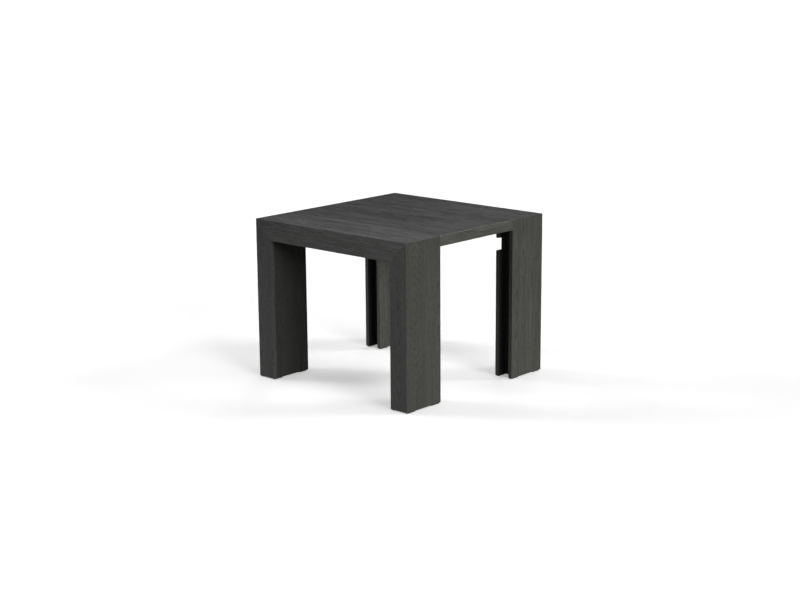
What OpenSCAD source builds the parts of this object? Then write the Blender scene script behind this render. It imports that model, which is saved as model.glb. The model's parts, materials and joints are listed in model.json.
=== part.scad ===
// Extending dining table: two mitred end frames, one leaf between them, and two packs of nine
// telescoping slide bars that carry a centre leg frame out of the near frame's legs.
// X is the way it extends, with the near frame at -X. Y is the width. The floor is z = 0.

/* [Overall] */
// Height of the table top
table_h = 762; // [720:1:800]
// Width across the table, along Y
table_w = 940; // [860:5:1100]
// Depth of each end frame, along X
end_d = 225; // [205:1:300]
// Length of the leaf, along X
leaf_l = 508; // [440:1:580]
// Open seam between the leaf and each end frame
seam = 0.3; // [0.2:0.1:1]

/* [End frames] */
// Thickness of the veneered boards
board_t = 19; // [16:1:22]
// Width of each leg, along Y
leg_w = 98; // [90:1:120]
// Height of the rail on the outboard face
rail_h = 96; // [84:1:120]
// Depth of the recess in each leg
recess_d = 50; // [44:1:60]
// Thickness of the board behind the recess
recess_board_t = 9; // [6:1:15]
// Height of the blocks that close the foot of each leg
foot_block_h = 40; // [25:1:80]

/* [Leaf] */
// Thickness of the leaf
leaf_t = 48; // [44:1:58]
// Thickness of the leaf's bottom board
leaf_bottom_t = 6; // [4:1:9]
// Width of the ribs at the leaf's two ends
end_rib_w = 40; // [34:1:60]
// Width of the ribs between them
cross_rib_w = 30; // [20:1:50]
// Number of ribs between the end ribs
cross_ribs = 5; // [3:1:8]

/* [Leaf studs] */
// Reach of the ledge under the leaf
ledge_reach = 30; // [26:1:40]
// Length of ledge that is glued under the far inner rail
ledge_seat = 19; // [16:1:40]
// Gap between each end of the ledge and the last bars
ledge_gap = 13.4; // [4:0.1:30]
// Thickness of the ledge
ledge_t = 20; // [16:1:24]
// Distance from each end of the ledge to its stud
stud_inset = 40; // [15:1:50]
// Diameter of the studs
stud_d = 8; // [6:0.5:9]
// Height of the studs above the ledge
stud_h = 10; // [7:0.5:12]
// Depth of the studs in the ledge
stud_seat = 12; // [8:1:15]
// Clearance of the studs in the leaf's bushes
stud_clear = 0.1; // [0.05:0.05:0.3]
// Outer diameter of the bushes in the leaf
bush_d = 13; // [12:0.5:16]
// Length of the bushes
bush_l = 13; // [13:0.5:18]

/* [Slide bars] */
// Length of each bar
bar_l = 400; // [380:1:430]
// Width of each bar
bar_w = 22.6; // [22:0.1:24]
// Height of each bar
bar_h = 43.5; // [40:0.5:48]
// Gap between neighbouring bars
bar_gap = 0.4; // [0.3:0.1:0.8]
// Gap between the bar ends and the face rail
bar_end_gap = 2.3; // [1:0.1:5]
// Distance from the side of the table to each pack of bars
pack_inset = 150; // [140:1:170]
// Height of the T-groove's mouth
groove_mouth_h = 8; // [6:0.5:10]
// Height of the T-groove's head
groove_head_h = 16; // [13:0.5:20]
// Depth of the T-groove's mouth
groove_mouth_d = 4; // [3:0.5:4.5]
// Depth of the T-groove's head
groove_head_d = 5; // [4:0.5:5.5]
// Length of solid bar that stops the groove
groove_stop = 8; // [5:1:12]
// Clearance of a T-glide in its groove, on each side
glide_clear = 0.3; // [0.2:0.05:0.4]
// Clearance above the bars, where something rests or slides over them
bar_clear = 0.3; // [0.2:0.1:0.6]

/* [Extension] */
// Number of further leaves that the slides open for
extra_leaves = 4; // [2:1:4]
// Room left over to drop the last leaf in
drop_gap = 4.8; // [2:0.1:8]
// Share of the opening that the centre leg frame travels
centre_share = 0.363; // [0.34:0.001:0.4]

/* [Centre leg frame] */
// Clearance around the centre legs and crossbar in the near frame
nest_clear = 1; // [0.6:0.1:2]
// Depth of the crossbar, along X
crossbar_d = 37; // [32:1:40]
// Height of the crossbar
crossbar_h = 50; // [40:1:60]
// Room under the crossbar in its notch
notch_room = 9; // [1:1:15]
// Thickness of the spacer plates between crossbar and bars
plate_t = 4; // [3:0.5:6]
// Diameter of the centre bolts
bolt_d = 6; // [5:0.5:6.5]
// Distance between the two bolts of a pair
bolt_spacing = 18; // [16:1:20]
// Reach of the bolts into the bar
bolt_reach = 25; // [15:1:30]
// Width across the flats of the bolt heads
bolt_head_w = 10; // [9:0.5:11]
// Height of the bolt heads
bolt_head_h = 4; // [3:0.5:5]
// Diameter of the counterbores in the crossbar
counterbore_d = 14; // [13.5:0.5:16]
// Depth of the counterbores
counterbore_depth = 10; // [8:1:14]
// Diameter of the dowels between the crossbar and the centre legs
dowel_d = 8; // [6:0.5:10]
// Length of these dowels
dowel_l = 60; // [40:1:80]
// Height between the two dowels of a pair
dowel_spacing = 26; // [16:1:28]

/* [Screws] */
// Diameter of the screws that hold the first and last bars
screw_d = 5; // [4:0.5:6]
// Length of these screws
screw_l = 62; // [56:1:64]
// Diameter of their heads
screw_head_d = 10; // [8:0.5:11]
// Clearance around screws and bolts in the pieces that they pass through
hole_clear = 0.2; // [0.1:0.1:0.5]
// Distance from the bar's outboard face to the screw axes
screw_inset = 9; // [8:0.1:9.4]
// Distance from the ends of the slide blocks to their screws
screw_end = 20; // [12:1:40]

/* [Floor glides] */
// Length of the strip glides
floor_glide_l = 56; // [40:1:60]
// Width of the strip glides
floor_glide_w = 15; // [10:1:16]
// Thickness of all floor glides
floor_glide_t = 4; // [3:0.5:6]
// Distance from the end of a leg to its strip glides
floor_glide_inset = 4; // [2:0.5:8]
// Diameter of the round glides under the centre legs
round_glide_d = 38; // [24:1:40]

/* [Hidden] */
$fn = 48;

// Overall places
half_w = table_w / 2;
mouth_x = leaf_l / 2 + seam;
half_l = mouth_x + end_d;
leg_foot_z = floor_glide_t;
board_under_z = table_h - board_t;
leaf_under_z = table_h - leaf_t;
rail_under_z = table_h - rail_h;

// Legs
inner_face_y = half_w - leg_w;
cavity_outer_y = half_w - board_t;
cavity_inner_y = inner_face_y + board_t;
cavity_y = (cavity_outer_y + cavity_inner_y) / 2;
rail_back_x = half_l - board_t;

// Slide bars
bar_pitch = bar_w + bar_gap;
bar_top_z = leaf_under_z - bar_clear;
bar_under_z = bar_top_z - bar_h;
bar_mid_z = (bar_top_z + bar_under_z) / 2;
pack_y = half_w - pack_inset;
first_bar_x = -rail_back_x + bar_end_gap;
last_bar_x = rail_back_x - bar_end_gap - bar_l;
near_stages = 5;
far_stages = 4;
stages = near_stages + far_stages;
far_step = (last_bar_x - first_bar_x) / far_stages;

block_x0 = mouth_x + board_t;
block_x1 = rail_back_x - bar_end_gap;

// Travel of the near frame, and how far neighbouring bars move apart
travel = extra_leaves * (leaf_l + seam) + drop_gap;
near_travel = travel * (1 - centre_share) / (near_stages - 1);
far_travel = travel * centre_share / far_stages;
near_glide_l = bar_l - groove_stop - near_travel - glide_clear;
far_glide_l = bar_l - groove_stop - far_step - far_travel - glide_clear;

// Centre leg frame
centre_leg_w = cavity_outer_y - cavity_inner_y - 2 * nest_clear;
centre_leg_d = recess_d - 2 * nest_clear;
centre_face_x = -mouth_x - nest_clear;
crossbar_x = centre_face_x - crossbar_d / 2;
crossbar_end_y = cavity_inner_y + nest_clear;
crossbar_top_z = bar_under_z - plate_t;
crossbar_under_z = crossbar_top_z - crossbar_h;
crossbar_mid_z = (crossbar_top_z + crossbar_under_z) / 2;
notch_d = crossbar_d + 2 * nest_clear;
notch_h = crossbar_h + nest_clear + notch_room;
bolt_top_z = bar_under_z + bolt_reach;

// Leaf studs
ledge_y = bar_side(stages) - bar_w - ledge_gap;
stud_x = mouth_x - ledge_reach / 2;
stud_y = ledge_y - stud_inset;
bush_r = stud_d / 2 + stud_clear;
rib_z = leaf_under_z + leaf_bottom_t;

// How far a cut runs past the face that it opens
cut = 1;

charcoal = [0.23, 0.23, 0.22];
raw_wood = [0.66, 0.55, 0.42];
alloy = [0.72, 0.73, 0.74];
steel = [0.55, 0.56, 0.58];
black_plastic = [0.09, 0.09, 0.09];
white_plastic = [0.85, 0.85, 0.82];

// A profile of points [y, z] drawn along X from x0 to x1
module along_x(x0, x1, points) {
    translate([x0, 0, 0]) rotate([90, 0, 90]) linear_extrude(x1 - x0) polygon(points);
}

// A profile of points [x, z] drawn along Y from y0 to y1
module along_y(y0, y1, points) {
    translate([0, y1, 0]) rotate([90, 0, 0]) linear_extrude(y1 - y0) polygon(points);
}

// A profile of points [x, y] drawn along Z from z0 to z1
module along_z(z0, z1, points) {
    translate([0, 0, z0]) linear_extrude(z1 - z0) polygon(points);
}

module box(low, high) {
    translate(low) cube(high - low);
}

// The left side of the table is +Y, and side is 1 on the left and -1 on the right
module on_side(side) {
    if (side > 0) children();
    else mirror([0, 1, 0]) children();
}

module on_both_sides() {
    children();
    mirror([0, 1, 0]) children();
}

// The end frames are drawn at +X. The near frame is the same one mirrored to -X.
module at_near_end() {
    mirror([1, 0, 0]) children();
}

// The section of the frame's outer shell, cut at 45 degrees where boards meet
module top_board() {
    color(charcoal) intersection() {
        along_y(-half_w, half_w, [[mouth_x, board_under_z], [rail_back_x, board_under_z],
            [half_l, table_h], [mouth_x, table_h]]);
        along_x(mouth_x, half_l, [[-cavity_outer_y, board_under_z], [cavity_outer_y, board_under_z],
            [half_w, table_h], [-half_w, table_h]]);
    }
}

// The rail across the outboard face, mitred to the top board and to the leg faces
module rail_board() {
    color(charcoal) intersection() {
        along_y(-half_w, half_w, [[half_l, rail_under_z], [half_l, table_h],
            [rail_back_x, board_under_z], [rail_back_x, rail_under_z]]);
        along_x(rail_back_x, half_l, [[-inner_face_y, rail_under_z], [inner_face_y, rail_under_z],
            [half_w, table_h], [-half_w, table_h]]);
    }
}

// The outboard face of one leg
module leg_face() {
    color(charcoal) intersection() {
        along_x(rail_back_x, half_l, [[inner_face_y, leg_foot_z], [half_w, leg_foot_z],
            [half_w, table_h], [inner_face_y, rail_under_z]]);
        along_z(leg_foot_z, table_h, [[rail_back_x, inner_face_y], [half_l, inner_face_y],
            [half_l, half_w], [rail_back_x, cavity_outer_y]]);
        along_y(inner_face_y, half_w, [[half_l, leg_foot_z], [half_l, table_h],
            [rail_back_x, board_under_z], [rail_back_x, leg_foot_z]]);
    }
}

// The outer side of one leg, up to the mitre with the top board
module outer_board() {
    color(charcoal) intersection() {
        along_x(mouth_x, half_l, [[half_w, leg_foot_z], [half_w, table_h],
            [cavity_outer_y, board_under_z], [cavity_outer_y, leg_foot_z]]);
        along_z(leg_foot_z, table_h, [[mouth_x, cavity_outer_y], [rail_back_x, cavity_outer_y],
            [half_l, half_w], [mouth_x, half_w]]);
    }
}

// The inner side of one leg, with the notch that the crossbar nests in
module inner_board() {
    color(charcoal) difference() {
        box([mouth_x, inner_face_y, leg_foot_z], [rail_back_x, cavity_inner_y, board_under_z]);
        translate([mouth_x - cut, inner_face_y - cut, crossbar_under_z - notch_room])
            cube([notch_d + cut, board_t + 2 * cut, notch_h]);
    }
}

// The boards behind the two leg recesses
module recess_boards() {
    color(charcoal) on_both_sides()
        box([mouth_x + recess_d, cavity_inner_y, leg_foot_z],
            [mouth_x + recess_d + recess_board_t, cavity_outer_y, board_under_z]);
}

// The rail under the inboard edge of the top board, clear of the bars below
module inner_rail() {
    color(raw_wood)
        box([mouth_x, -inner_face_y, leaf_under_z], [mouth_x + board_t, inner_face_y, board_under_z]);
}

module foot_blocks() {
    color(raw_wood) on_both_sides()
        box([mouth_x + recess_d + recess_board_t, cavity_inner_y, leg_foot_z],
            [rail_back_x, cavity_outer_y, leg_foot_z + foot_block_h]);
}

// A flat strip with round ends, whose corner box starts at the origin
module strip_glide() {
    r = floor_glide_w / 2;
    translate([r, r, 0]) cylinder(r = r, h = floor_glide_t);
    translate([floor_glide_l - r, r, 0]) cylinder(r = r, h = floor_glide_t);
    translate([r, 0, 0]) cube([floor_glide_l - 2 * r, floor_glide_w, floor_glide_t]);
}

// Four strips under each leg: at both ends of its outer and inner boards
module floor_glides() {
    glide_xs = [mouth_x + floor_glide_inset, half_l - floor_glide_inset - floor_glide_l];
    board_ys = [cavity_outer_y + board_t / 2, cavity_inner_y - board_t / 2];
    color(black_plastic) on_both_sides()
        for (x = glide_xs, y = board_ys)
            translate([x, y - floor_glide_w / 2, 0]) strip_glide();
}

// The screws that hold the bar of an end frame, from under the bar up into its slide block.
// bar_side_y is the bar's outboard face.
module slide_screws(bar_side_y, clear = 0) {
    head_h = (screw_head_d - screw_d) / 2;
    for (x = [block_x0 + screw_end, block_x1 - screw_end])
        translate([x, bar_side_y - screw_inset, bar_under_z]) {
            cylinder(d = screw_d + 2 * clear, h = screw_l);
            cylinder(d1 = screw_head_d + 2 * clear, d2 = screw_d + 2 * clear, h = head_h);
        }
}

// The slide block over that bar, as wide as the bar
module slide_block(bar_side_y) {
    difference() {
        box([block_x0, bar_side_y - bar_w, bar_top_z], [block_x1, bar_side_y, board_under_z]);
        slide_screws(bar_side_y);
    }
}

function bar_side(stage) = pack_y - (stage - 1) * bar_pitch;
function bar_x(stage) = first_bar_x + max(0, stage - near_stages) * far_step;

// One bar, with a T-groove in its inboard face that stops short of its +X end
module bar(stage) {
    side = bar_side(stage);
    x0 = bar_x(stage);
    difference() {
        box([x0, side - bar_w, bar_under_z], [x0 + bar_l, side, bar_top_z]);
        if (stage < stages) {
            translate([x0 - cut, side - bar_w - cut, bar_mid_z - groove_mouth_h / 2])
                cube([bar_l - groove_stop + cut, groove_mouth_d + 2 * cut, groove_mouth_h]);
            translate([x0 - cut, side - bar_w + groove_mouth_d, bar_mid_z - groove_head_h / 2])
                cube([bar_l - groove_stop + cut, groove_head_d, groove_head_h]);
        }
    }
}

module slide_bars(stage) {
    color(alloy) on_both_sides() bar(stage);
}

// The first and last bars, drilled for the screws of their end frame
module near_fixed_bars() {
    color(alloy) on_both_sides() difference() {
        bar(1);
        at_near_end() slide_screws(bar_side(1), hole_clear);
    }
}

module far_fixed_bars() {
    color(alloy) on_both_sides() difference() {
        bar(stages);
        slide_screws(bar_side(stages), hole_clear);
    }
}

// The middle bars, tapped from below for the centre bolts
module middle_bars() {
    color(alloy) on_both_sides() difference() {
        bar(near_stages);
        for (x = bolt_xs())
            translate([x, bar_side(near_stages) - screw_inset, bar_under_z - cut])
                cylinder(d = bolt_d, h = bolt_reach + cut);
    }
}

// A T-shaped glide on the outboard face of a bar, in the groove of the bar before it
module slide_glides(stage) {
    side = bar_side(stage);
    x0 = bar_x(stage);
    long = stage > near_stages ? far_glide_l : near_glide_l;
    mouth = groove_mouth_h - 2 * glide_clear;
    head = groove_head_h - 2 * glide_clear;
    head_y = side + bar_gap + groove_mouth_d + glide_clear;
    color(white_plastic) on_both_sides() {
        box([x0, side, bar_mid_z - mouth / 2], [x0 + long, head_y, bar_mid_z + mouth / 2]);
        box([x0, head_y, bar_mid_z - head / 2],
            [x0 + long, head_y + groove_head_d - 2 * glide_clear, bar_mid_z + head / 2]);
    }
}

// The ledge that carries the leaf's far end, glued under the far inner rail
module leaf_ledge() {
    color(raw_wood) difference() {
        box([mouth_x - ledge_reach, -ledge_y, leaf_under_z - ledge_t],
            [mouth_x + ledge_seat, ledge_y, leaf_under_z]);
        on_both_sides() translate([stud_x, stud_y, leaf_under_z - stud_seat])
            cylinder(d = stud_d, h = stud_seat + cut);
    }
}

module leaf_studs() {
    tip = stud_d / 8;
    color(steel) on_both_sides() translate([stud_x, stud_y, leaf_under_z - stud_seat]) {
        cylinder(d = stud_d, h = stud_seat + stud_h - tip);
        translate([0, 0, stud_seat + stud_h - tip])
            cylinder(d1 = stud_d, d2 = stud_d - 2 * tip, h = tip);
    }
}

module leaf_top_board() {
    color(charcoal) along_x(-leaf_l / 2, leaf_l / 2, [[-cavity_outer_y, board_under_z],
        [cavity_outer_y, board_under_z], [half_w, table_h], [-half_w, table_h]]);
}

module leaf_edge_board() {
    color(charcoal) along_x(-leaf_l / 2, leaf_l / 2, [[half_w, leaf_under_z], [half_w, table_h],
        [cavity_outer_y, board_under_z], [cavity_outer_y, leaf_under_z]]);
}

module bush_holes(z0, z1) {
    on_both_sides() translate([stud_x, stud_y, z0]) cylinder(d = bush_d, h = z1 - z0);
}

module leaf_bottom_board() {
    color(raw_wood) difference() {
        box([-leaf_l / 2, -cavity_outer_y, leaf_under_z], [leaf_l / 2, cavity_outer_y, rib_z]);
        bush_holes(leaf_under_z - cut, rib_z + cut);
    }
}

// A rib across each end of the leaf, and ribs along X spread evenly between the side edges
module leaf_ribs() {
    rib_in = leaf_l / 2 - end_rib_w;
    spread = 2 * cavity_outer_y - cross_rib_w;
    color(raw_wood) {
        difference() {
            box([rib_in, -cavity_outer_y, rib_z], [leaf_l / 2, cavity_outer_y, board_under_z]);
            bush_holes(rib_z - cut, leaf_under_z + bush_l);
        }
        box([-leaf_l / 2, -cavity_outer_y, rib_z], [-rib_in, cavity_outer_y, board_under_z]);
        for (i = [0:cross_ribs - 1])
            translate([0, -cavity_outer_y + i * spread / (cross_ribs - 1), 0])
                box([-rib_in, 0, rib_z], [rib_in, cross_rib_w, board_under_z]);
    }
}

module leaf_bushes() {
    color(white_plastic) on_both_sides() translate([stud_x, stud_y, leaf_under_z]) difference() {
        cylinder(d = bush_d, h = bush_l);
        translate([0, 0, -cut]) cylinder(r = bush_r, h = bush_l + 2 * cut);
    }
}

// The two dowels that join the left end of the crossbar to its leg
module end_dowels() {
    for (side = [-1, 1])
        translate([crossbar_x, crossbar_end_y, crossbar_mid_z + side * dowel_spacing / 2])
            rotate([90, 0, 0]) cylinder(d = dowel_d, h = dowel_l, center = true);
}

module centre_dowels() {
    color(raw_wood) on_both_sides() end_dowels();
}

module centre_leg() {
    color(charcoal) difference() {
        box([centre_face_x - centre_leg_d, crossbar_end_y, leg_foot_z],
            [centre_face_x, crossbar_end_y + centre_leg_w, crossbar_top_z]);
        end_dowels();
    }
}

function bolt_xs() = [crossbar_x - bolt_spacing / 2, crossbar_x + bolt_spacing / 2];

// The crossbar between the centre legs, drilled and counterbored from below
module centre_crossbar() {
    color(charcoal) difference() {
        box([centre_face_x - crossbar_d, -crossbar_end_y, crossbar_under_z],
            [centre_face_x, crossbar_end_y, crossbar_top_z]);
        on_both_sides() end_dowels();
        on_both_sides() for (x = bolt_xs())
            translate([x, bar_side(near_stages) - screw_inset, crossbar_under_z - cut]) {
                cylinder(d = bolt_d + 2 * hole_clear, h = crossbar_h + 2 * cut);
                cylinder(d = counterbore_d, h = counterbore_depth + cut);
            }
    }
}

module centre_plates() {
    color(steel) on_both_sides() difference() {
        box([centre_face_x - crossbar_d, bar_side(near_stages) - bar_w, crossbar_top_z],
            [centre_face_x, bar_side(near_stages), bar_under_z]);
        for (x = bolt_xs())
            translate([x, bar_side(near_stages) - screw_inset, crossbar_top_z - cut])
                cylinder(d = bolt_d + 2 * hole_clear, h = plate_t + 2 * cut);
    }
}

// Hexagon bolts from the counterbores up into the middle bars
module centre_bolts() {
    seat_z = crossbar_under_z + counterbore_depth;
    color(steel) on_both_sides() for (x = bolt_xs())
        translate([x, bar_side(near_stages) - screw_inset, 0]) {
            translate([0, 0, seat_z]) cylinder(d = bolt_d, h = bolt_top_z - seat_z);
            translate([0, 0, seat_z - bolt_head_h])
                cylinder(d = bolt_head_w / cos(30), h = bolt_head_h, $fn = 6);
        }
}

module centre_floor_glides() {
    color(black_plastic) on_both_sides()
        translate([centre_face_x - centre_leg_d / 2, cavity_y, 0])
            cylinder(d = round_glide_d, h = floor_glide_t);
}

at_near_end() top_board();  // near_top_board
at_near_end() rail_board();  // near_rail_board
at_near_end() on_side(1) leg_face();  // near_left_leg_face
at_near_end() on_side(-1) leg_face();  // near_right_leg_face
at_near_end() on_side(1) outer_board();  // near_left_outer_board
at_near_end() on_side(-1) outer_board();  // near_right_outer_board
at_near_end() on_side(1) inner_board();  // near_left_inner_board
at_near_end() on_side(-1) inner_board();  // near_right_inner_board
at_near_end() recess_boards();  // near_recess_boards
at_near_end() inner_rail();  // near_inner_rail
at_near_end() foot_blocks();  // near_foot_blocks
at_near_end() floor_glides();  // near_floor_glides
color(raw_wood) at_near_end() on_both_sides() slide_block(bar_side(1));  // near_slide_blocks
color(steel) at_near_end() on_both_sides() slide_screws(bar_side(1));  // near_slide_screws
top_board();  // far_top_board
rail_board();  // far_rail_board
on_side(1) leg_face();  // far_left_leg_face
on_side(-1) leg_face();  // far_right_leg_face
on_side(1) outer_board();  // far_left_outer_board
on_side(-1) outer_board();  // far_right_outer_board
on_side(1) inner_board();  // far_left_inner_board
on_side(-1) inner_board();  // far_right_inner_board
recess_boards();  // far_recess_boards
inner_rail();  // far_inner_rail
foot_blocks();  // far_foot_blocks
floor_glides();  // far_floor_glides
color(raw_wood) on_both_sides() slide_block(bar_side(stages));  // far_slide_blocks
color(steel) on_both_sides() slide_screws(bar_side(stages));  // far_slide_screws
leaf_ledge();
leaf_studs();
leaf_top_board();
on_side(1) leaf_edge_board();  // leaf_left_edge_board
on_side(-1) leaf_edge_board();  // leaf_right_edge_board
leaf_bottom_board();
leaf_ribs();
leaf_bushes();
near_fixed_bars();  // slide_bars_1
slide_bars(2);  // slide_bars_2
slide_bars(3);  // slide_bars_3
slide_bars(4);  // slide_bars_4
middle_bars();  // slide_bars_5
slide_bars(6);  // slide_bars_6
slide_bars(7);  // slide_bars_7
slide_bars(8);  // slide_bars_8
far_fixed_bars();  // slide_bars_9
slide_glides(2);  // slide_glides_2
slide_glides(3);  // slide_glides_3
slide_glides(4);  // slide_glides_4
slide_glides(5);  // slide_glides_5
slide_glides(6);  // slide_glides_6
slide_glides(7);  // slide_glides_7
slide_glides(8);  // slide_glides_8
slide_glides(9);  // slide_glides_9
on_side(1) centre_leg();  // centre_left_leg
on_side(-1) centre_leg();  // centre_right_leg
centre_crossbar();
centre_plates();
centre_bolts();
centre_dowels();
centre_floor_glides();
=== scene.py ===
import bpy
import bmesh
import json
import math
from mathutils import Matrix, Vector


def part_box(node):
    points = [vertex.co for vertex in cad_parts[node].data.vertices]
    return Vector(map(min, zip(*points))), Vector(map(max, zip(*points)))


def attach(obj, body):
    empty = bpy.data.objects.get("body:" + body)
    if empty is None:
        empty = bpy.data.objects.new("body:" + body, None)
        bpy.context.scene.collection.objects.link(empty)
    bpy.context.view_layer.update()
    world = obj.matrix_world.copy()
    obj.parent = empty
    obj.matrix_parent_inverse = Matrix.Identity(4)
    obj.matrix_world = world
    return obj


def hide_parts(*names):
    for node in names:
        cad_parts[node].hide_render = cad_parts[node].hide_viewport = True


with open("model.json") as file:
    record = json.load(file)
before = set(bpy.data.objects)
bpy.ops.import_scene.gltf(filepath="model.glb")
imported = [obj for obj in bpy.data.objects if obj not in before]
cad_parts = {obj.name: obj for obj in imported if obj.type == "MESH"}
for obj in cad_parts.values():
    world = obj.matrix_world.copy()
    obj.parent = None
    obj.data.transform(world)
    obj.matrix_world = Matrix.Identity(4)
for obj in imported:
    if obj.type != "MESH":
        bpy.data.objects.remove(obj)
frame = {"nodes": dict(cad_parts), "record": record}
nodes = frame["nodes"]
bodyOf = {name: body for body, names in frame["record"]["behaviour"]["bodies"].items() for name in names}
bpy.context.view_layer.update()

# Camera: azimuth and elevation round the table, metres and degrees
cameraView = {
    "azimuth": -47.71,
    "elevation": 13.1,
    "roll": -0.41,
    "place": (-5.48696, -4.98778, 2.08370),
    "lens": 72.426,
    "sensor": 36,
    "clip": (0.1, 300),
}


def outwards(azimuth, elevation):
    a, e = math.radians(azimuth), math.radians(elevation)
    return Vector((math.sin(a) * math.cos(e), -math.cos(a) * math.cos(e), math.sin(e)))


def makeCamera(look):
    back = outwards(look["azimuth"], look["elevation"])
    right = (-back).cross(Vector((0, 0, 1))).normalized()
    up = right.cross(-back)
    turn = math.radians(look["roll"])
    across = right * math.cos(turn) + up * math.sin(turn)
    upwards = up * math.cos(turn) - right * math.sin(turn)
    camera = bpy.data.objects.new("camera", bpy.data.cameras.new("camera"))
    turned = Matrix((across, upwards, back)).transposed().to_4x4()
    camera.matrix_world = Matrix.Translation(look["place"]) @ turned
    camera.data.sensor_width = look["sensor"]
    camera.data.lens = look["lens"]
    camera.data.clip_start, camera.data.clip_end = look["clip"]
    bpy.context.scene.collection.objects.link(camera)
    bpy.context.scene.camera = camera


makeCamera(cameraView)

# Helpers for nodes


def addNode(tree, kind, inputs=None, **settings):
    node = tree.nodes.new(kind)
    for key, value in settings.items():
        setattr(node, key, value)
    for key, value in (inputs or {}).items():
        if isinstance(value, bpy.types.NodeSocket):
            tree.links.new(value, node.inputs[key])
        else:
            node.inputs[key].default_value = value
    return node


def calc(tree, operation, *values, clamp=False):
    node = addNode(tree, "ShaderNodeMath", dict(enumerate(values)), operation=operation, use_clamp=clamp)
    return node.outputs[0]


def plus(tree, first, second, clamp=False):
    return calc(tree, "ADD", first, second, clamp=clamp)


def minus(tree, first, second):
    return calc(tree, "SUBTRACT", first, second)


def times(tree, first, second):
    return calc(tree, "MULTIPLY", first, second)


def remap(tree, value, low, high, newLow=0.0, newHigh=1.0):
    node = addNode(tree, "ShaderNodeMapRange", {
        "Value": value, "From Min": low, "From Max": high, "To Min": newLow, "To Max": newHigh,
    })
    return node.outputs["Result"]


def noiseValue(tree, vector, scale, detail, roughness=0.5):
    settings = {"Vector": vector, "Scale": scale, "Detail": detail, "Roughness": roughness}
    return addNode(tree, "ShaderNodeTexNoise", settings).outputs["Fac"]


# A noise's values lie mostly in this span
noiseSpan = (0.3, 0.7)


def swing(tree, noise, amount):
    return remap(tree, noise, *noiseSpan, -amount, amount)


def stretched(tree, vector, across, along, shift=None):
    node = addNode(tree, "ShaderNodeMapping", {"Vector": vector, "Scale": (across, across, along)})
    if shift is not None:
        moved = addNode(tree, "ShaderNodeVectorMath", {0: node.outputs[0], 1: shift}, operation="ADD")
        return moved.outputs[0]
    return node.outputs[0]


# The Mix node keeps its colour sockets at these places
mixFirst, mixSecond, mixResult = 6, 7, 2


def mixColours(tree, factor, first, second):
    inputs = {"Factor": factor, mixFirst: first, mixSecond: second}
    return addNode(tree, "ShaderNodeMix", inputs, data_type="RGBA").outputs[mixResult]


def newGroup(name, inputs, outputs):
    group = bpy.data.node_groups.new(name, "ShaderNodeTree")
    for label, kind, value in inputs:
        socket = group.interface.new_socket(name=label, in_out="INPUT", socket_type=kind)
        if value is not None:
            socket.default_value = value
    for label, kind in outputs:
        group.interface.new_socket(name=label, in_out="OUTPUT", socket_type=kind)
    return group, group.nodes.new("NodeGroupInput").outputs, group.nodes.new("NodeGroupOutput").inputs


floatSocket, colourSocket, vectorSocket = "NodeSocketFloat", "NodeSocketColor", "NodeSocketVector"


# Noises in the grain: cells a metre across it and along it, detail, roughness
grainNoises = {
    "drift": (9.0, 2.6, 2.0, 0.5),  # how the log's axis wanders
    "ragged": (260.0, 24.0, 3.0, 0.5),  # edges of the rings
    "bands": (21.0, 1.6, 3.0, 0.5),
    "broad": (75.0, 3.2, 4.0, 0.5),  # wide fibres
    "fleck": (230.0, 12.0, 4.0, 0.6),
    "fine": (760.0, 10.0, 5.0, 0.7),  # narrow fibres
    "blotch": (6.0, 2.0, 3.0, 0.5),  # how the stain took
    "streaks": (140.0, 11.0, 5.0, 0.65),
    "dash": (1800.0, 50.0, 2.0, 0.5),  # pores
}
# How much each of these lightens and darkens the tone
toneShares = {"bands": 0.12, "broad": 0.24, "fleck": 0.28, "fine": 0.24, "blotch": 0.14}
grainLook = {
    "seedStep": 7.31,  # these four keep boards and strips from repeating
    "seedShift": 13.7,
    "stripShift": 5.9,
    "chanceShift": 40.0,
    "driftSpan": (0.2, 0.8),
    "axisDrift": 0.022,
    "raggedness": 0.22,
    "earlyPower": 2.2,  # how steeply a ring darkens into its early wood
    "earlyMiddle": 0.3,
    "earlyTone": -0.26,
    "earlySpan": (-0.3, 0.7),
    "poresInEarly": (-0.05, 0.13),
    "poreEdge": (0.56, 0.62),
    "poreRoughness": 0.2,
    "broadSpan": (0.25, 0.75),
    "broadRoughness": 0.05,
    "poreHeight": -0.8,
    "fineHeight": 0.35,
    "earlyHeight": 0.15,
    "middleTone": 0.5,
}


def grainNoise(group, vector, shift, cells):
    across, along, detail, roughness = cells
    return noiseValue(group, stretched(group, vector, across, along, shift), 1.0, detail, roughness)


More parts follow.
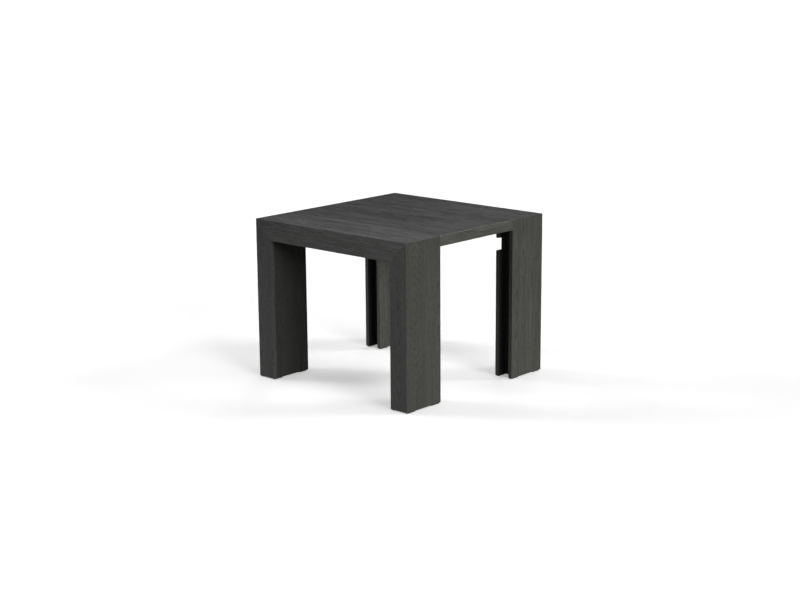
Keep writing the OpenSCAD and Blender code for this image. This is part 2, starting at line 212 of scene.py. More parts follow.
# Wood whose grain runs along the group's Z, with the board's face towards Y.
# Each strip of veneer is a slice of its own log, so the growth rings arch and drift.
def makeOpenGrain(look):
    group, given, result = newGroup("openGrain", [
        ("Vector", vectorSocket, None),
        ("Light", colourSocket, (0.08, 0.08, 0.075, 1)),
        ("Dark", colourSocket, (0.045, 0.045, 0.042, 1)),
        ("Pore", colourSocket, (0.02, 0.02, 0.02, 1)),
        ("Seed", floatSocket, 1.0),
        ("Strip", floatSocket, 0.15),
        ("Strip Shift", floatSocket, 0.0),
        ("Strip Tone", floatSocket, 0.1),
        ("Drift Across", floatSocket, 0.0),
        ("Drift Along", floatSocket, 0.0),
        ("Ring", floatSocket, 0.007),
        ("Ring Fade", floatSocket, 0.0),
        ("Axis Depth", floatSocket, 0.03),
        ("Axis Slope", floatSocket, 0.05),
        ("Pore Amount", floatSocket, 0.6),
        ("Contrast", floatSocket, 1.0),
        ("Streaks", floatSocket, 0.0),
        ("Roughness", floatSocket, 0.55),
    ], [("Color", colourSocket), ("Roughness", floatSocket), ("Height", floatSocket)])
    xyz = addNode(group, "ShaderNodeSeparateXYZ", {0: given["Vector"]}).outputs
    # Which strip the point is in, and random values for that strip
    place = calc(group, "DIVIDE", minus(group, xyz["X"], given["Strip Shift"]), given["Strip"])
    place = plus(group, place, 0.5)
    cell = calc(group, "FLOOR", place)
    inCell = minus(group, minus(group, place, cell), 0.5)
    local = times(group, inCell, given["Strip"])
    chance = addNode(group, "ShaderNodeTexWhiteNoise", {
        "W": plus(group, cell, times(group, given["Seed"], look["seedStep"])),
    }, noise_dimensions="1D")
    chances = addNode(group, "ShaderNodeSeparateColor", {0: chance.outputs["Color"]}).outputs
    shift = addNode(group, "ShaderNodeCombineXYZ", {
        0: times(group, given["Seed"], look["seedShift"]),
        1: times(group, cell, look["stripShift"]),
        2: times(group, chances[2], look["chanceShift"]),
    }).outputs[0]
    noises = {name: grainNoise(group, given["Vector"], shift, cells) for name, cells in grainNoises.items()}
    # Growth rings: the distance from a log axis that slopes under the face
    aside = plus(group, local, times(group, minus(group, chances[0], 0.5), given["Strip"]))
    wander = remap(group, noises["drift"], *look["driftSpan"], -look["axisDrift"], look["axisDrift"])
    aside = plus(group, aside, wander)
    slope = times(group, given["Axis Slope"], remap(group, chances[1], 0, 1, -1, 1))
    under = plus(group, plus(group, xyz["Y"], given["Axis Depth"]), times(group, xyz["Z"], slope))
    radius = calc(group, "SQRT", plus(group, times(group, aside, aside), times(group, under, under)))
    ragged = swing(group, noises["ragged"], look["raggedness"])
    radius = plus(group, radius, times(group, ragged, given["Ring"]))
    ring = calc(group, "FRACT", calc(group, "DIVIDE", radius, given["Ring"]))
    early = minus(group, calc(group, "POWER", ring, look["earlyPower"]), look["earlyMiddle"])
    shown = plus(group, times(group, xyz["Z"], given["Ring Fade"]), 1.0, clamp=True)
    early = times(group, early, shown)
    # Pores are short dark dashes, thickest in the early wood
    openness = plus(group, noises["dash"], remap(group, early, *look["earlySpan"], *look["poresInEarly"]))
    pore = times(group, remap(group, openness, *look["poreEdge"]), given["Pore Amount"])
    # The tone runs from dark to light wood
    tone = times(group, early, look["earlyTone"])
    for name, share in toneShares.items():
        tone = plus(group, tone, swing(group, noises[name], share))
    tone = times(group, tone, given["Contrast"])
    tone = plus(group, tone, times(group, swing(group, noises["streaks"], 1.0), given["Streaks"]))
    tone = plus(group, tone, times(group, minus(group, chances[1], 0.5), given["Strip Tone"]))
    tone = plus(group, tone, times(group, xyz["X"], given["Drift Across"]))
    tone = plus(group, tone, times(group, xyz["Z"], given["Drift Along"]))
    tone = plus(group, tone, look["middleTone"], clamp=True)
    colour = mixColours(group, tone, given["Dark"], given["Light"])
    colour = mixColours(group, pore, colour, given["Pore"])
    rough = plus(group, given["Roughness"], times(group, pore, look["poreRoughness"]))
    fibre = look["broadRoughness"]
    fibres = remap(group, noises["broad"], *look["broadSpan"], -fibre, fibre)
    height = times(group, pore, look["poreHeight"])
    height = plus(group, height, times(group, noises["fine"], look["fineHeight"]))
    height = minus(group, height, times(group, early, look["earlyHeight"]))
    group.links.new(colour, result["Color"])
    group.links.new(plus(group, rough, fibres), result["Roughness"])
    group.links.new(height, result["Height"])
    return group


arrisLook = {
    "samples": 6,
    "turn": (0.98, 0.75),  # from no wear or painted highlight to full, as the dot product of the two normals
    "mitreLean": 0.04,
    "breakScale": 45.0,
    "breakDetail": 3.0,
    "breakSpan": (0.3, 0.6),
    "leastWearAndHighlight": 0.45,
}


# How close a point is to an arris, from the difference between a rounded and a plain normal.
# The mask pales the arrises, as wear and as a painted highlight.
# A rounded normal that leans along all three axes is on a mitre's joint line, which gets neither.
def makeArrisWearAndHighlight(look):
    group, given, result = newGroup("arrisWearAndHighlight", [
        ("Width", floatSocket, 0.0015),
        ("Amount", floatSocket, 1.0),
    ], [("Wear And Highlight", floatSocket)])
    rounded = addNode(group, "ShaderNodeBevel", {"Radius": given["Width"]}, samples=look["samples"])
    rounded = rounded.outputs["Normal"]
    plain = addNode(group, "ShaderNodeNewGeometry").outputs["Normal"]
    dot = addNode(group, "ShaderNodeVectorMath", {0: rounded, 1: plain}, operation="DOT_PRODUCT")
    wearAndHighlight = remap(group, dot.outputs["Value"], *look["turn"])
    lean = addNode(group, "ShaderNodeSeparateXYZ", {0: rounded}).outputs
    lean = calc(group, "ABSOLUTE", times(group, times(group, lean[0], lean[1]), lean[2]))
    wearAndHighlight = times(group, wearAndHighlight, remap(group, lean, 0.0, look["mitreLean"], 1.0, 0.0))
    coords = addNode(group, "ShaderNodeTexCoord").outputs["Object"]
    breakUp = noiseValue(group, coords, look["breakScale"], look["breakDetail"])
    wearAndHighlight = times(group, wearAndHighlight, remap(group, breakUp, *look["breakSpan"], look["leastWearAndHighlight"], 1.0))
    group.links.new(calc(group, "MULTIPLY", wearAndHighlight, given["Amount"], clamp=True), result["Wear And Highlight"])
    return group


drawnLook = {
    "lineDetail": 3.0,
    "cloudScale": 22.0,
    "cloudDetail": 4.0,
    "lineShade": (0.90, 1.05),
    "cloudShade": (-0.06, 0.04),
    "lineRough": (-0.06, 0.08),
    "cloudRough": 0.05,
}


# Fine lines left along X by drawing or grinding, and a cloudy surface
def makeDrawnLines(look):
    group, given, result = newGroup("drawnLines", [
        ("Vector", vectorSocket, None),
        ("Colour", colourSocket, (0.7, 0.7, 0.7, 1)),
        ("Roughness", floatSocket, 0.35),
        ("Across", floatSocket, 900.0),
        ("Along", floatSocket, 3.0),
    ], [("Color", colourSocket), ("Roughness", floatSocket), ("Height", floatSocket)])
    across, along = given["Across"], given["Along"]
    scale = addNode(group, "ShaderNodeCombineXYZ", {0: along, 1: across, 2: across}).outputs[0]
    long = addNode(group, "ShaderNodeVectorMath", {0: given["Vector"], 1: scale}, operation="MULTIPLY")
    lines = noiseValue(group, long.outputs[0], 1.0, look["lineDetail"])
    cloud = noiseValue(group, given["Vector"], look["cloudScale"], look["cloudDetail"])
    shade = plus(group, remap(group, lines, *noiseSpan, *look["lineShade"]),
                 remap(group, cloud, *noiseSpan, *look["cloudShade"]))
    colour = addNode(group, "ShaderNodeVectorMath", {0: given["Colour"], "Scale": shade}, operation="SCALE")
    rough = plus(group, given["Roughness"], remap(group, lines, *noiseSpan, *look["lineRough"]))
    rough = plus(group, rough, swing(group, cloud, look["cloudRough"]))
    group.links.new(colour.outputs[0], result["Color"])
    group.links.new(rough, result["Roughness"])
    group.links.new(lines, result["Height"])
    return group


skinLook = {
    "pebbles": 1400.0,
    "scuffCells": (160.0, 40.0),
    "scuffDetail": 4.0,
    "scuffEdge": (0.58, 0.72),
    "scuffShown": 0.5,
    "scuffRough": 0.15,
    "scuffHeight": -0.3,
}


# Moulded plastic: a fine leathery surface and scuffs
def makeMouldedSkin(look):
    group, given, result = newGroup("mouldedSkin", [
        ("Vector", vectorSocket, None),
        ("Colour", colourSocket, (0.03, 0.03, 0.03, 1)),
        ("Scuff", colourSocket, (0.1, 0.1, 0.1, 1)),
        ("Roughness", floatSocket, 0.5),
    ], [("Color", colourSocket), ("Roughness", floatSocket), ("Height", floatSocket)])
    skin = addNode(group, "ShaderNodeTexVoronoi", {"Vector": given["Vector"], "Scale": look["pebbles"]})
    place = stretched(group, given["Vector"], *look["scuffCells"])
    scuff = remap(group, noiseValue(group, place, 1.0, look["scuffDetail"]), *look["scuffEdge"])
    colour = mixColours(group, times(group, scuff, look["scuffShown"]), given["Colour"], given["Scuff"])
    rough = plus(group, given["Roughness"], times(group, scuff, look["scuffRough"]))
    height = plus(group, skin.outputs["Distance"], times(group, scuff, look["scuffHeight"]))
    group.links.new(colour, result["Color"])
    group.links.new(rough, result["Roughness"])
    group.links.new(height, result["Height"])
    return group


groups = {
    "openGrain": makeOpenGrain(grainLook),
    "arrisWearAndHighlight": makeArrisWearAndHighlight(arrisLook),
    "drawnLines": makeDrawnLines(drawnLook),
    "mouldedSkin": makeMouldedSkin(skinLook),
}


def startMaterial(name):
    material = bpy.data.materials.new(name)
    material.use_nodes = True
    tree = material.node_tree
    return material, tree, tree.nodes["Principled BSDF"]


def objectCoords(tree):
    return addNode(tree, "ShaderNodeTexCoord").outputs["Object"]


def placeGroup(tree, name, inputs):
    return addNode(tree, "ShaderNodeGroup", inputs, node_tree=groups[name]).outputs


bumpDepth = {"wood": 0.0005, "plastic": 0.0002, "metal": 0.0003}  # metres


def bumpFrom(tree, shader, height, strength, distance):
    bump = addNode(tree, "ShaderNodeBump", {"Height": height, "Strength": strength, "Distance": distance})
    tree.links.new(bump.outputs[0], shader.inputs["Normal"])


charcoalVeneer = {
    "light": (0.140, 0.140, 0.1385),
    "dark": (0.050, 0.050, 0.0493),
    "pore": (0.024, 0.024, 0.0235),
    # Pale arris colour: worn edges and a painted highlight
    "wornArrisAndHighlight": (0.26, 0.26, 0.255),
    "wearAndHighlightWidth": 0.0020,
    "wearAndHighlightAmount": 0.7,
    "ring": 0.0045,
    "axisDepth": 0.032,
    "axisSlope": 0.075,
    "poreAmount": 0.60,
    "roughness": 0.88,
    "specular": 0.04,
    "bump": 0.35,
}

bareWood = {
    "light": (0.56, 0.42, 0.27),
    "dark": (0.40, 0.27, 0.16),
    "pore": (0.30, 0.19, 0.11),
    "wornArrisAndHighlight": (0.62, 0.49, 0.34),
    "wearAndHighlightWidth": 0.0010,
    "wearAndHighlightAmount": 0.3,
    "ring": 0.006,
    "axisDepth": 0.05,
    "axisSlope": 0.06,
    "poreAmount": 0.25,
    "roughness": 0.68,
    "specular": 0.30,
    "bump": 0.25,
}

axes = {"X": Vector((1, 0, 0)), "Y": Vector((0, 1, 0)), "Z": Vector((0, 0, 1))}


def tinted(colour, tint):
    return tuple(c * t for c, t in zip(colour, tint)) + (1,)


# What a board's wood has where the board says nothing else
plainBoard = {
    "strip": 0.15,  # width of a strip of veneer or of a plank
    "shift": 0.0,  # how far the strips are moved across the board
    "stripTone": 0.10,
    "drift": (0.0, 0.0),  # change of tone per metre, across and along
    "contrast": 1.0,
    "streaks": 0.0,
    "ringFade": 0.0,  # per metre along the board
    "edge": 1.0,  # how pale the arrises are, as wear and as a painted highlight
    "tint": (1, 1, 1),
    "log": {},
}


def makeWood(name, look, board, centre, seed):
    board = {**plainBoard, **board}
    look = {**look, **board["log"]}
    tint, facing, along = board["tint"], axes[board["facing"]], axes[board["along"]]
    material, tree, shader = startMaterial(name)
    turn = Matrix((facing.cross(along), facing, along))
    mapped = addNode(tree, "ShaderNodeMapping", {
        "Vector": objectCoords(tree), "Rotation": turn.to_euler(), "Location": -(turn @ Vector(centre)),
    })
    grain = placeGroup(tree, "openGrain", {
        "Vector": mapped.outputs[0],
        "Light": tinted(look["light"], tint),
        "Dark": tinted(look["dark"], tint),
        "Pore": tinted(look["pore"], tint),
        "Seed": float(seed),
        "Strip": board["strip"],
        "Strip Shift": board["shift"],
        "Strip Tone": board["stripTone"],
        "Drift Across": board["drift"][0],
        "Drift Along": board["drift"][1],
        "Ring": look["ring"],
        "Ring Fade": board["ringFade"],
        "Axis Depth": look["axisDepth"],
        "Axis Slope": look["axisSlope"],
        "Pore Amount": look["poreAmount"],
        "Contrast": board["contrast"],
        "Streaks": board["streaks"],
        "Roughness": look["roughness"],
    })
    # Arrises paled as wear and as a painted highlight, more so where the board's edge is high
    wearAndHighlight = placeGroup(tree, "arrisWearAndHighlight", {"Width": look["wearAndHighlightWidth"], "Amount": look["wearAndHighlightAmount"]})
    wornArrisAndHighlight = tinted(look["wornArrisAndHighlight"], [channel * board["edge"] for channel in tint])
    tree.links.new(mixColours(tree, wearAndHighlight["Wear And Highlight"], grain["Color"], wornArrisAndHighlight), shader.inputs["Base Color"])
    tree.links.new(grain["Roughness"], shader.inputs["Roughness"])
    shader.inputs["Specular IOR Level"].default_value = look["specular"]
    bumpFrom(tree, shader, grain["Height"], look["bump"], bumpDepth["wood"])
    return material


recessPaint = {
    "colour": (0.010, 0.010, 0.010, 1),
    "scuff": (0.03, 0.03, 0.03, 1),
    "roughness": 0.75,
    "specular": 0.2,
    "bump": 0.2,
}
blackNylon = {
    "colour": (0.018, 0.018, 0.018, 1),
    "scuff": (0.07, 0.07, 0.07, 1),
    "roughness": 0.48,
    "specular": 0.45,
    "bump": 0.2,
}
whiteNylon = {
    "colour": (0.72, 0.72, 0.68, 1),
    "scuff": (0.55, 0.55, 0.52, 1),
    "roughness": 0.42,
    "specular": 0.5,
    "bump": 0.2,
}
slideAlloy = {
    "colour": (0.52, 0.53, 0.54, 1),
    "roughness": 0.40,
    "across": 1100.0,
    "along": 2.5,
    "bump": 0.12,
}
zincSteel = {
    "colour": (0.60, 0.61, 0.63, 1),
    "roughness": 0.32,
    "across": 500.0,
    "along": 60.0,
    "bump": 0.05,
}


def makePlastic(name, look):
    material, tree, shader = startMaterial(name)
    skin = placeGroup(tree, "mouldedSkin", {
        "Vector": objectCoords(tree),
        "Colour": look["colour"],
        "Scuff": look["scuff"],
        "Roughness": look["roughness"],
    })
    tree.links.new(skin["Color"], shader.inputs["Base Color"])
    tree.links.new(skin["Roughness"], shader.inputs["Roughness"])
    shader.inputs["Specular IOR Level"].default_value = look["specular"]
    bumpFrom(tree, shader, skin["Height"], look["bump"], bumpDepth["plastic"])
    return material


def makeMetal(name, look):
    material, tree, shader = startMaterial(name)
    lines = placeGroup(tree, "drawnLines", {
        "Vector": objectCoords(tree),
        "Colour": look["colour"],
        "Roughness": look["roughness"],
        "Across": look["across"],
        "Along": look["along"],
    })
    tree.links.new(lines["Color"], shader.inputs["Base Color"])
    tree.links.new(lines["Roughness"], shader.inputs["Roughness"])
    shader.inputs["Metallic"].default_value = 1.0
    bumpFrom(tree, shader, lines["Height"], look["bump"], bumpDepth["metal"])
    return material


finishes = {
    "recessPaint": makePlastic("recessPaint", recessPaint),
    "blackNylon": makePlastic("blackNylon", blackNylon),
    "whiteNylon": makePlastic("whiteNylon", whiteNylon),
    "slideAlloy": makeMetal("slideAlloy", slideAlloy),
    "zincSteel": makeMetal("zincSteel", zincSteel),
}
print("materials started")


# Pieces


def cornersOf(name):
    low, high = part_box(name)
    return low, high, (low + high) / 2


def finishMesh(mesh, name, body, materials, replaced=()):
    piece = bpy.data.objects.new(name, mesh)
    bpy.context.scene.collection.objects.link(piece)
    for material in materials:
        mesh.materials.append(material)
    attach(piece, body)
    if replaced:
        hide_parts(*replaced)


joinDistance = 1e-6  # metres
arrisFrom = math.radians(25)
flatUpTo = math.radians(1)
straightFrom = 0.99  # of an edge's direction, past which it runs along an axis
# How far each kind of piece has its arrises eased, in metres, and in how many steps
eases = {
    "veneer": (0.0008, 3),
    "recess": (0.0005, 2),
    "bareWood": (0.0006, 2),
    "slideBar": (0.0004, 2),
    "slideGlide": (0.0005, 2),
    "floorGlide": (0.0008, 2),
    "plate": (0.0005, 2),
}


# Mitres run at 45 degrees, so their joint lines aren't parallel to any axis
def isMitreLine(edge):
    along = (edge.verts[1].co - edge.verts[0].co).normalized()
    return max(abs(part) for part in along) < straightFrom


# A copy of a node with its arrises eased. The copy takes the node's place.
def easedCopy(node, kind, materials, insideTest=None, tightMitres=False):
    width, segments = eases[kind]
    bm = bmesh.new()
    bm.from_mesh(nodes[node].data)
    bmesh.ops.remove_doubles(bm, verts=bm.verts, dist=joinDistance)
    bmesh.ops.dissolve_limit(bm, angle_limit=flatUpTo, verts=bm.verts, edges=bm.edges)
    for face in bm.faces:
        face.material_index = 1 if insideTest and insideTest(face) else 0
        face.smooth = False
    arrises = [e for e in bm.edges if len(e.link_faces) == 2 and e.calc_face_angle() > arrisFrom]
    arrises = [e for e in arrises if not (tightMitres and isMitreLine(e))]
    bmesh.ops.bevel(bm, geom=arrises, offset=width, offset_type="OFFSET", affect="EDGES",
                    segments=segments, profile=0.5, material=-1, clamp_overlap=True)
    mesh = bpy.data.meshes.new(node + ".eased")
    bm.to_mesh(mesh)
    bm.free()
    finishMesh(mesh, node + ".eased", bodyOf[node], materials, (node,))


# Veneered boards: which way the grain runs and the face looks, and each board's tone, mostly the veneer's
# own; the tops' tints and drifts are partly painted shade, and an edge above 1 paints a stronger highlight
# on the arrises
warm = (1.0, 0.995, 0.90)
sideBoard = {"along": "Z", "facing": "Y", "strip": 0.128, "tint": warm}
legFace = {"along": "Z", "facing": "X", "strip": 0.120}
flatTop = {"along": "Y", "facing": "Z", "contrast": 1.45, "streaks": 0.5}
leafEdge = {
    "along": "X",
    "facing": "Y",
    "strip": 0.100,
    "contrast": 0.8,
    "tint": (1.2, 1.19, 1.08),
    # A high edge: a strong painted highlight along the leaf's top arrises
    "edge": 2.8,
}
centreLeg = {"along": "Z", "facing": "X", "strip": 0.090, "contrast": 0.8}
endBoards = {
    "top_board": {**flatTop, "strip": 0.150, "drift": (0, -0.30)},
    "rail_board": {
        "along": "Y",
        "facing": "X",
        "strip": 0.130,
        "contrast": 0.7,
        "tint": (1.17, 1.17, 1.16),
        "drift": (0, -0.24),
    },
    "left_leg_face": {**legFace, "contrast": 0.42, "drift": (0, -0.26), "edge": 0.7},
    "right_leg_face": {**legFace, "contrast": 0.36, "tint": (1.15, 1.15, 1.13), "drift": (0, -0.06)},
    "left_outer_board": {**sideBoard, "contrast": 0.5},
    "right_outer_board": {**sideBoard, "contrast": 0.43, "drift": (0, -0.12), "edge": 1.3},
    "left_inner_board": {**sideBoard, "contrast": 0.6},
    "right_inner_board": {**sideBoard, "contrast": 0.6},
}
otherBoards = {
    "leaf_top_board": {
        **flatTop,
        "strip": 0.170,
        # Tint and drift: partly the veneer's own tone, partly painted shade, darker overall and darker
        # towards +Y. The high edge paints a strong highlight on the arrises.
        "tint": (0.63, 0.63, 0.63),
        "drift": (0.10, -0.60),
        "edge": 2.8,
    },
    "leaf_left_edge_board": leafEdge,
    "leaf_right_edge_board": leafEdge,
    "centre_left_leg": centreLeg,
    "centre_right_leg": centreLeg,
    "centre_crossbar": {**centreLeg, "along": "Y"},
}
# How a board differs from its twin at the other end of the table, in its veneer and in painted light and
# shade
ownVeneerAndPaintedLight = {
    # The tops: partly the veneer's own tone, partly painted shade, darker overall, darker towards +Y and, on
    # the near top, towards the leaf
    "near_top_board": {"tint": (0.81, 0.81, 0.81), "drift": (1.0, -0.56)},
    "far_top_board": {"tint": (0.64, 0.64, 0.64), "drift": (0, -0.60)},
    "near_right_outer_board": {
        "shift": -0.185,
        "contrast": 0.34,
        "ringFade": 1.9,
        "log": {"ring": 0.010, "axisSlope": 0.28, "poreAmount": 0.45},
    },
    "far_right_outer_board": {"tint": (1.05, 1.045, 0.945), "contrast": 0.6, "drift": (-0.4, -0.25)},
    # Painted shade: darker overall, and darker still towards +X, deep under the table
    "near_left_inner_board": {"tint": (0.56, 0.555, 0.52), "contrast": 0.42, "drift": (-0.95, -0.1)},
    # Painted light: this board is lightened as if lit fully
    "far_left_inner_board": {"tint": (1.30, 1.30, 1.17)},
}
# Faces inside the hollow legs: how squarely they face sideways, and how far out they lie
legHollow = {"squareFrom": 0.9, "least": 0.3905, "most": 0.4515}
firstSeed = 3


def insideLeg(face):
    out = abs(face.calc_center_median().y)
    return abs(face.normal.y) > legHollow["squareFrom"] and legHollow["least"] < out < legHollow["most"]


boards = {end + "_" + part: look for end in ("near", "far") for part, look in endBoards.items()}
boards.update(otherBoards)
for seed, (name, look) in enumerate(boards.items(), firstSeed):
    board = {**look, **ownVeneerAndPaintedLight.get(name, {})}
    wood = makeWood("veneer_" + name, charcoalVeneer, board, cornersOf(name)[2], seed)
    inside = insideLeg if name.endswith(("outer_board", "inner_board")) else None
    tight = not name.startswith("centre")
    easedCopy(name, "veneer", [wood, finishes["recessPaint"]], inside, tight)
for end in ("near", "far"):
    easedCopy(end + "_recess_boards", "recess", [finishes["recessPaint"]])
print("veneered boards")

# Bare wood inside and under the table, and which way its grain runs
bareStrip = 0.2
bareBoards = {
    "near_inner_rail": "Y",
    "far_inner_rail": "Y",
    "near_foot_blocks": "Y",
    "far_foot_blocks": "Y",
    "near_slide_blocks": "X",
    "far_slide_blocks": "X",
    "leaf_ledge": "Y",
    "leaf_bottom_board": "Y",
    "leaf_ribs": "X",
    "centre_dowels": "Y",
}
for seed, (name, along) in enumerate(bareBoards.items(), firstSeed + len(boards)):
    board = {"along": along, "facing": "Z", "strip": bareStrip}
    wood = makeWood("bare_" + name, bareWood, board, cornersOf(name)[2], seed)
    easedCopy(name, "bareWood", [wood])
print("bare boards")

# Slide bars, glides and fittings
slideStages = range(1, 10)
for stage in slideStages:
    easedCopy("slide_bars_%d" % stage, "slideBar", [finishes["slideAlloy"]])
for stage in slideStages[1:]:
    easedCopy("slide_glides_%d" % stage, "slideGlide", [finishes["whiteNylon"]])
for name in ("near_floor_glides", "far_floor_glides", "centre_floor_glides"):
    easedCopy(name, "floorGlide", [finishes["blackNylon"]])
easedCopy("centre_plates", "plate", [finishes["zincSteel"]])


# A solid of revolution: points are (radius, height), round an upright axis through its place
def spinProfile(bm, points, place, steps):
    verts = [bm.verts.new(Vector(place) + Vector((radius, 0, height))) for radius, height in points]
    edges = [bm.edges.new(pair) for pair in zip(verts, verts[1:])]
    bmesh.ops.spin(bm, geom=verts + edges, cent=place, axis=(0, 0, 1), angle=2 * math.pi, steps=steps,
                   use_merge=True)
    bmesh.ops.remove_doubles(bm, verts=bm.verts, dist=joinDistance)


def smoothMesh(bm, name, sharpFrom=35):
    bmesh.ops.recalc_face_normals(bm, faces=bm.faces)
    mesh = bpy.data.meshes.new(name)
    bm.to_mesh(mesh)
    bm.free()
    mesh.shade_smooth()
    mesh.set_sharp_from_angle(angle=math.radians(sharpFrom))
    return mesh


def onlyVerts(geometry):
    return [part for part in geometry if isinstance(part, bmesh.types.BMVert)]


turnPerMetre = (90, 40)  # radians, so that no two fittings are turned alike


# One fitting is modelled at the origin and then set at each of its places
def placeCopies(one, places):
    single = bpy.data.meshes.new("single")
    one.to_mesh(single)
    one.free()
    bm = bmesh.new()
    for place in places:
        before = len(bm.verts)
        bm.from_mesh(single)
        bm.verts.ensure_lookup_table()
        fresh = bm.verts[before:]
        turn = Matrix.Rotation(place[0] * turnPerMetre[0] + place[1] * turnPerMetre[1], 3, "Z")
        bmesh.ops.rotate(bm, verts=fresh, cent=(0, 0, 0), matrix=turn)
        bmesh.ops.translate(bm, vec=place, verts=fresh)
    bpy.data.meshes.remove(single)
    return bm


# Countersunk wood screws, heads down, with a cross recess
slideScrew = {
    "seatRadius": 0.005,  # of the plain head that it replaces
    "headRadius": 0.0049,
    "headHeight": 0.0024,
    "rimDrop": 0.0002,
    "shankRadius": 0.0024,
    "pointLength": 0.006,
    "tipShare": 0.15,
    "recess": 0.0026,  # from the middle to the end of an arm
    "slot": 0.0006,  # half an arm's width
    "recessDepth": 0.0020,
    "recessTaper": 0.6,
    "segments": 24,
}


# Triangles between two flat loops round the origin, taken in order of angle
def fillRing(bm, inner, outer):
    loops = (outer, inner)
    turns = sorted((math.atan2(v.co.y, v.co.x) % (2 * math.pi), side, n)
                   for side, loop in enumerate(loops) for n, v in enumerate(loop))
    order = [turn[1:] for turn in turns]
    last = dict(order)  # the newest vertex of each loop, which at the start is its last
    for side, n in order:
        bm.faces.new((loops[side][n], outer[last[0]], inner[last[1]]))
        last[side] = n


def makeScrew(length, look):
    bm = bmesh.new()
    # The recess is a grid of nine faces without its corners
    grid = bmesh.ops.create_grid(bm, x_segments=3, y_segments=3, size=look["recess"])["verts"]
    for v in grid:
        for side in (0, 1):
            if abs(v.co[side]) < look["recess"] / 2:
                v.co[side] = math.copysign(look["slot"], v.co[side])
    middles = [(f, f.calc_center_median()) for f in bm.faces]
    corners = [f for f, middle in middles if min(abs(middle.x), abs(middle.y)) > look["slot"]]
    bmesh.ops.delete(bm, geom=corners, context="FACES")
    cross = list(bm.faces)
    outline = list(bm.verts)
    rim = bmesh.ops.create_circle(bm, segments=look["segments"], radius=look["headRadius"])["verts"]
    edges = [e for e in bm.edges if not e.link_faces]
    fillRing(bm, outline, rim)
    sunk = onlyVerts(bmesh.ops.extrude_face_region(bm, geom=cross)["geom"])
    bmesh.ops.delete(bm, geom=[f for f in cross if f.is_valid], context="FACES")
    bmesh.ops.scale(bm, vec=(look["recessTaper"], look["recessTaper"], 1), verts=sunk)
    bmesh.ops.translate(bm, vec=(0, 0, look["recessDepth"]), verts=sunk)
    profile = (
        (look["headRadius"], look["rimDrop"]),
        (look["shankRadius"], look["headHeight"]),
        (look["shankRadius"], length - look["pointLength"]),
        (look["shankRadius"] * look["tipShare"], length),
    )
    for radius, height in profile:
        grown = bmesh.ops.extrude_edge_only(bm, edges=edges)["geom"]
        edges = [part for part in grown if isinstance(part, bmesh.types.BMEdge)]
        for v in onlyVerts(grown):
            flat = Vector((v.co.x, v.co.y, 0)).normalized() * radius
            v.co = (flat.x, flat.y, height)
    bmesh.ops.contextual_create(bm, geom=edges)
    return bm


for end in ("near", "far"):
    node = end + "_slide_screws"
    low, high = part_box(node)
    seat = slideScrew["seatRadius"]
    places = [(x, y, low.z) for x in (low.x + seat, high.x - seat) for y in (low.y + seat, high.y - seat)]
    bm = placeCopies(makeScrew(high.z - low.z, slideScrew), places)
    finishMesh(smoothMesh(bm, node), node + ".detailed", bodyOf[node],
               [finishes["zincSteel"]], (node,))

# Hexagon bolts with washers, in the crossbar's counterbores
centreBolt = {
    "acrossFlats": 0.010,
    "headHeight": 0.0030,
    "chamfer": 0.0007,
    "washerRadius": 0.0063,
    "washerHeight": 0.0010,
    "washerEdge": 0.0002,
    "shankRadius": 0.0030,
    "tipHeight": 0.001,
    "tipInset": 0.0008,
    "steps": 32,
}


# From a hexagon's middle to its flats and to its corners
def hexagonReach(acrossFlats):
    return acrossFlats / 2, acrossFlats / 2 / math.cos(math.pi / 6)


def makeBolt(top, look):
    bm = bmesh.new()
    head, washer, shank = look["headHeight"], look["washerRadius"], look["shankRadius"]
    seat = head + look["washerHeight"]
    bmesh.ops.create_circle(bm, cap_ends=True, segments=6, radius=hexagonReach(look["acrossFlats"])[1])
    raised = bmesh.ops.extrude_face_region(bm, geom=list(bm.faces), use_keep_orig=True)
    bmesh.ops.translate(bm, vec=(0, 0, head), verts=onlyVerts(raised["geom"]))
    rim = [e for e in bm.edges if max(v.co.z for v in e.verts) < joinDistance]
    bmesh.ops.bevel(bm, geom=rim, offset=look["chamfer"], offset_type="OFFSET", affect="EDGES", segments=1,
                    profile=0.5, material=-1)
    spinProfile(bm, [
        (0, head), (washer - look["washerEdge"], head), (washer, head + look["washerEdge"]), (washer, seat),
        (shank, seat), (shank, top - look["tipHeight"]), (shank - look["tipInset"], top), (0, top),
    ], (0, 0, 0), look["steps"])
    return bm


low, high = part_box("centre_bolts")
flat, corner = hexagonReach(centreBolt["acrossFlats"])
places = [(x, y, low.z) for x in (low.x + corner, high.x - corner) for y in (low.y + flat, high.y - flat)]
bm = placeCopies(makeBolt(high.z - low.z, centreBolt), places)
finishMesh(smoothMesh(bm, "centre_bolts"), "centre_bolts.detailed", bodyOf["centre_bolts"],
           [finishes["zincSteel"]], ("centre_bolts",))

# Turned studs on the ledge
leafStud = {
    "radius": 0.004,
    "neck": 0.0036,
    "neckEdge": 0.0002,
    "neckHeight": 0.0006,
    "shoulder": 0.001,
    "tip": 0.0022,
    "rounding": ((1.0, 1.0), (0.94, 0.62), (0.78, 0.3), (0.5, 0.08)),  # shares of the radius and the tip
    "steps": 32,
    "sharpFrom": 50,
}


